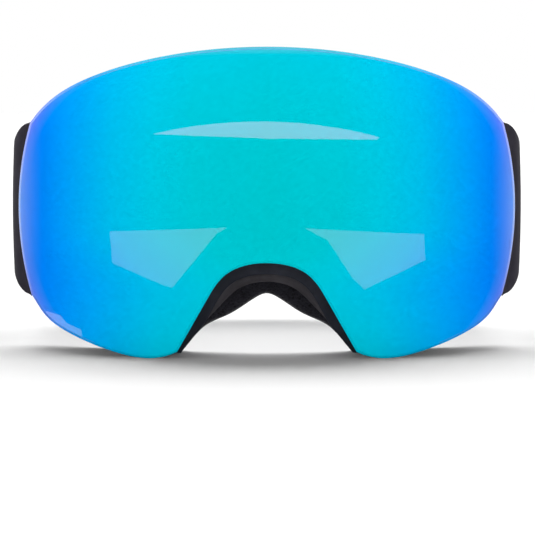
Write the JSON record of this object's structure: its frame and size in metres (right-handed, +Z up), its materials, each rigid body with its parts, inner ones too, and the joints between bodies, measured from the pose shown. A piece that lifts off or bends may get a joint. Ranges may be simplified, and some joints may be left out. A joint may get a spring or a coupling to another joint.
{
  "type": "ski goggles",
  "caption": "Frameless ski goggles: a toric mirrored lens held by magnets on a foam-lined frame, hinged strap arms and an adjustable elastic strap.",
  "frame": {"origin": "middle of the bottom of the bounding box, on the surface that the goggles stand on", "axes": "+Z up, -Y the way the wearer looks, +X to the wearer's left, which is the right as seen from the front"},
  "size_m": [0.193, 0.2346, 0.1113],
  "materials": {
    "lens_mirror": "mirror coating over polycarbonate, cyan in the middle to violet-blue at the edges",
    "inner_lens": "clear, lightly smoke-tinted acetate",
    "carrier_plastic": "fine satin",
    "gasket_foam": "closed-cell foam",
    "magnet": "nickel-plated",
    "chassis_plastic": "fine satin",
    "frame_plastic": "matte, finely grained, flexible",
    "vent_foam": "open-cell foam",
    "face_foam": "open-cell foam, dense",
    "face_foam_light": "open-cell foam, softer",
    "face_fleece": "brushed fleece",
    "arm_plastic": "satin",
    "pin_steel": "satin",
    "strap_webbing": "woven elastic webbing",
    "slider_plastic": "satin",
    "keeper_rubber": "matte",
    "grip_silicone": "glossy silicone"
  },
  "bodies": {
    "frame": {"frame": "frame_plastic", "chassis_ring": "chassis_plastic", "chassis_magnets": "magnet", "vent_foam_top": "vent_foam", "vent_foam_bottom_left": "vent_foam", "vent_foam_bottom_right": "vent_foam", "face_foam_base": "face_foam", "face_foam_middle": "face_foam_light", "face_fleece": "face_fleece", "hinge_pin_left": "pin_steel", "hinge_pin_right": "pin_steel", "strap_band": "strap_webbing", "strap_tail_left": "strap_webbing", "strap_tail_right": "strap_webbing", "strap_keeper_left": "keeper_rubber", "strap_keeper_right": "keeper_rubber", "strap_grip_strips": "grip_silicone"},
    "lens": {"outer_lens": "lens_mirror", "lens_carrier": "carrier_plastic", "lens_gasket": "gasket_foam", "inner_lens": "inner_lens", "lens_magnets": "magnet"},
    "arm_left": {"strap_arm_left": "arm_plastic", "strap_anchor_left": "strap_webbing"},
    "arm_right": {"strap_arm_right": "arm_plastic", "strap_anchor_right": "strap_webbing"},
    "slider_left": {"strap_slider_left": "slider_plastic"},
    "slider_right": {"strap_slider_right": "slider_plastic"}
  },
  "joints": [
    {"name": "lens_release", "type": "slide", "parent": "frame", "child": "lens", "axis": [0, -1, 0], "range_m": [0, 0.06]},
    {"name": "arm_left_hinge", "type": "hinge", "parent": "frame", "child": "arm_left", "pos_m": [-0.09, -0.0493, 0.0524], "axis": [0, 0, 1], "range_deg": [-4, 12]},
    {"name": "arm_right_hinge", "type": "hinge", "parent": "frame", "child": "arm_right", "pos_m": [0.09, -0.0493, 0.0524], "axis": [0, 0, -1], "range_deg": [-4, 12]},
    {"name": "slider_left_slide", "type": "slide", "parent": "frame", "child": "slider_left", "axis": [0, 0.9986, -0.0523], "range_m": [0, 0.02]},
    {"name": "slider_right_slide", "type": "slide", "parent": "frame", "child": "slider_right", "axis": [0, 0.9986, -0.0523], "range_m": [0, 0.02]}
  ]
}
